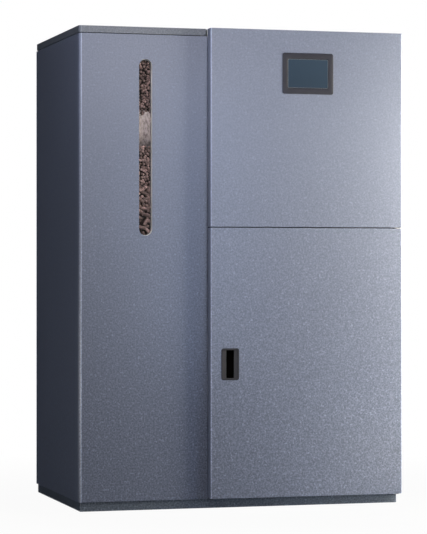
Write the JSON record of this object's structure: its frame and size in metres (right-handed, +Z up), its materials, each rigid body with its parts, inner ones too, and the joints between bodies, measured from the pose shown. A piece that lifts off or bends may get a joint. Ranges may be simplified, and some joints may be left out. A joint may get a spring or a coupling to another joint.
{
  "type": "pellet_boiler",
  "caption": "Free-standing wood pellet boiler with a fuel hopper, a slot window in the hopper, a lifting lid, hinged doors, a firebox and an ash drawer",
  "frame": {"origin": "Middle of the plinth's underside, on the floor", "axes": "+Z up, front faces -Y, the fuel hopper is on the -X side and the boiler on the +X side"},
  "size_m": [0.894, 0.637, 1.28],
  "materials": {
    "painted_sheet": "satin",
    "lid_paint": "satin",
    "plinth_paint": "satin",
    "dark_paint": "satin",
    "boiler_paint": "matt",
    "galvanised_steel": "brushed",
    "zinc_plate": "satin",
    "cast_iron": "matt",
    "brass": "satin",
    "seal_rubber": "matt",
    "black_plastic": "matt",
    "dark_gloss": "gloss",
    "red_plastic": "gloss",
    "window_glass": "clear",
    "insulation": "matt",
    "wood_pellets": "matt"
  },
  "bodies": {
    "cabinet": {"base_plinth": "plinth_paint", "left_side_panel": "painted_sheet", "right_side_panel": "painted_sheet", "rear_panel": "painted_sheet", "hopper_front_panel": "painted_sheet", "partition_panel": "galvanised_steel", "boiler_top_panel": "painted_sheet", "front_frame": "dark_paint", "door_seals": "seal_rubber", "door_magnets": "zinc_plate", "hinge_brackets": "zinc_plate", "panel_screws": "zinc_plate", "hopper_collar": "dark_paint", "lid_gasket": "seal_rubber", "hopper_tank": "galvanised_steel", "window_gasket": "seal_rubber", "window_glass": "window_glass", "pellet_charge": "wood_pellets", "lid_hinge_base": "zinc_plate", "auger_tube": "galvanised_steel", "auger_bush": "brass", "feeder_gearbox": "dark_paint", "feeder_motor": "galvanised_steel", "burner_base": "dark_paint", "burner_pot": "cast_iron", "igniter": "zinc_plate", "fan_housing": "dark_paint", "fan_motor": "galvanised_steel", "boiler_body": "boiler_paint", "boiler_rails": "galvanised_steel", "boiler_insulation": "insulation", "firebox_baffle": "insulation", "smokebox_hatch": "dark_paint", "flue_collar": "galvanised_steel", "supply_pipe": "galvanised_steel", "return_pipe": "galvanised_steel", "drain_valve": "brass", "firebox_hinges": "dark_paint", "service_plate": "dark_paint", "control_box": "galvanised_steel", "mains_inlet": "black_plastic"},
    "lid": {"hopper_lid": "lid_paint", "lid_liner": "insulation", "lid_hinge_leaf": "zinc_plate"},
    "upper_door_set": {"upper_door": "painted_sheet", "display_bezel": "black_plastic", "touch_screen": "dark_gloss"},
    "lower_door_set": {"lower_door": "painted_sheet", "pull_cup": "black_plastic"},
    "fire_door": {"firebox_door": "dark_paint", "firebox_board": "insulation"},
    "drawer": {"ash_drawer": "galvanised_steel"},
    "auger": {"auger_shaft": "galvanised_steel", "auger_flight": "galvanised_steel"},
    "fan": {"fan_wheel": "galvanised_steel"},
    "cleaner": {"cleaning_rod": "zinc_plate", "turbulators": "galvanised_steel"},
    "drain_lever": {"drain_lever_arm": "red_plastic"},
    "reset": {"reset_button": "red_plastic"},
    "mains_switch": {"switch_rocker": "black_plastic"}
  },
  "joints": [
    {"name": "lid_hinge", "type": "hinge", "parent": "cabinet", "child": "lid", "pos_m": [-0.2735, 0.272, 1.264], "axis": [-1, 0, 0], "range_deg": [0, 95]},
    {"name": "upper_door_hinge", "type": "hinge", "parent": "cabinet", "child": "upper_door_set", "pos_m": [0.435, -0.29, 1], "axis": [0, 0, 1], "range_deg": [0, 110]},
    {"name": "lower_door_hinge", "type": "hinge", "parent": "cabinet", "child": "lower_door_set", "pos_m": [0.435, -0.29, 0.4], "axis": [0, 0, 1], "range_deg": [0, 110]},
    {"name": "fire_door_hinge", "type": "hinge", "parent": "cabinet", "child": "fire_door", "pos_m": [0.364, -0.211, 0.426], "axis": [0, 0, 1], "range_deg": [0, 100]},
    {"name": "drawer_slide", "type": "slide", "parent": "cabinet", "child": "drawer", "axis": [0, -1, 0], "range_m": [0, 0.26]},
    {"name": "auger_turn", "type": "hinge", "parent": "cabinet", "child": "auger", "pos_m": [-0.09, 0, 0.25], "axis": [1, 0, 0], "continuous": true},
    {"name": "fan_turn", "type": "hinge", "parent": "cabinet", "child": "fan", "pos_m": [-0.045, -0.112, 0.27], "axis": [1, 0, 0], "continuous": true},
    {"name": "cleaner_slide", "type": "slide", "parent": "cabinet", "child": "cleaner", "axis": [0, 0, 1], "range_m": [0, 0.06]},
    {"name": "drain_lever_turn", "type": "hinge", "parent": "cabinet", "child": "drain_lever", "pos_m": [0.3, 0.301, 0.37], "axis": [0, 0, 1], "range_deg": [0, 90]},
    {"name": "reset_press", "type": "slide", "parent": "cabinet", "child": "reset", "axis": [0, 1, 0], "range_m": [0, 0.003], "stiffness_N_per_m": 400},
    {"name": "switch_rock", "type": "hinge", "parent": "cabinet", "child": "mains_switch", "pos_m": [0.0125, 0.276, 1.18], "axis": [1, 0, 0], "range_deg": [0, 16]}
  ],
  "couplings": [
    {"joint": "fire_door_hinge", "follows": "lower_door_hinge", "ratio": 0.909},
    {"joint": "drawer_slide", "follows": "lower_door_hinge", "m_per_rad": 0.1354}
  ]
}
